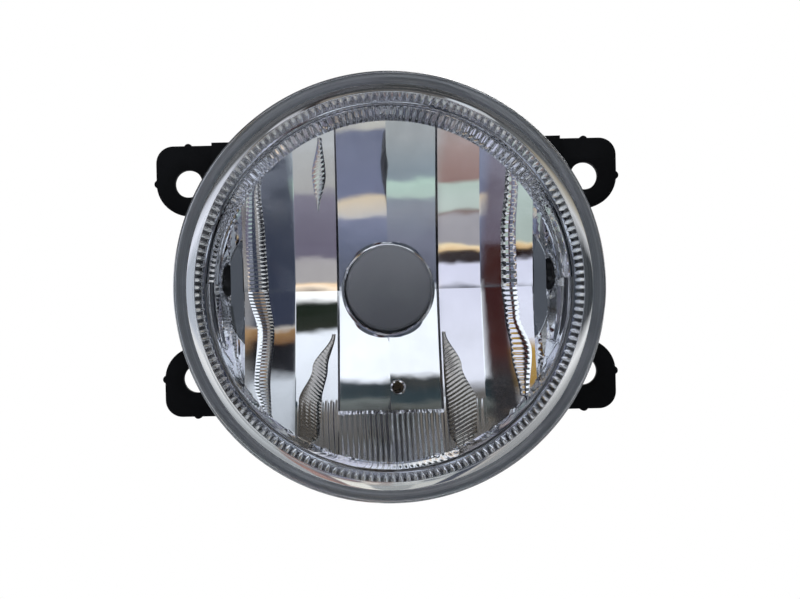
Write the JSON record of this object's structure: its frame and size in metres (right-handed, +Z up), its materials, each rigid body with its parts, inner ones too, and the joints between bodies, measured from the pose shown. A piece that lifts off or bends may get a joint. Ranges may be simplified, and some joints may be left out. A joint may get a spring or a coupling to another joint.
{
  "type": "fog light",
  "caption": "Round front fog light: glass lens over a faceted mirror reflector with a shielded plug-in bulb, tilting for aim in a black four-eared bracket.",
  "frame": {"origin": "on the lens axis, where the straight rim of the lens begins", "axes": "+Z up as fitted to the car, -Y forward along the lens axis, +Y back towards the bulb, +X to the viewer's right from the front"},
  "size_m": [0.101, 0.0691, 0.093],
  "materials": {
    "bracket_plastic": "black glass-filled nylon, fine grain",
    "bush_plastic": "natural acetal",
    "lens_glass": "clear pressed glass",
    "seal_rubber": "matt black",
    "mirror_coating": "vacuum-metallised",
    "shield_paint": "matt grey",
    "pin_steel": "bright zinc",
    "filter_foam": "open-cell foam",
    "screw_plate": "yellow passivated zinc",
    "spring_steel": "blued spring steel",
    "bulb_glass": "clear quartz",
    "filament_metal": "grey tungsten wire",
    "dark_moulding": "black heat-resistant moulding",
    "terminal_brass": "tinned brass"
  },
  "bodies": {
    "bracket": {"bracket": "bracket_plastic", "pivot_bush_left": "bush_plastic", "pivot_bush_right": "bush_plastic", "adjuster_bush": "bush_plastic"},
    "lamp": {"lens": "lens_glass", "lens_seal": "seal_rubber", "reflector": "mirror_coating", "bulb_shield": "shield_paint", "pivot_pin_left": "pin_steel", "pivot_pin_right": "pin_steel", "nut_socket": "bush_plastic", "breather_elbow": "seal_rubber", "breather_filter": "filter_foam"},
    "screw": {"adjuster_screw": "screw_plate", "screw_retainer": "spring_steel"},
    "nut": {"ball_nut": "bush_plastic"},
    "bulb": {"bulb_capsule": "bulb_glass", "bulb_filament": "filament_metal", "filament_supports": "pin_steel", "bulb_collar": "pin_steel", "bulb_base": "dark_moulding", "bulb_oring": "seal_rubber", "bulb_terminals": "terminal_brass"}
  },
  "joints": [
    {"name": "lamp_tilt", "type": "hinge", "parent": "bracket", "child": "lamp", "pos_m": [0, 0.021, 0.0025], "axis": [1, 0, 0], "range_deg": [-2.5, 2.5]},
    {"name": "nut_slide", "type": "slide", "parent": "bracket", "child": "nut", "axis": [0, 1, 0], "range_m": [-0.002, 0.002]},
    {"name": "screw_spin", "type": "hinge", "parent": "bracket", "child": "screw", "pos_m": [0, 0.035, -0.041], "axis": [0, 1, 0], "range_deg": [-460, 460]},
    {"name": "bulb_twist", "type": "hinge", "parent": "lamp", "child": "bulb", "pos_m": [0, 0.04, 0], "axis": [0, 1, 0], "range_deg": [-45, 0]}
  ],
  "couplings": [
    {"joint": "nut_slide", "follows": "lamp_tilt", "m_per_rad": 0.0435},
    {"joint": "screw_spin", "follows": "lamp_tilt", "ratio": 182.2}
  ]
}
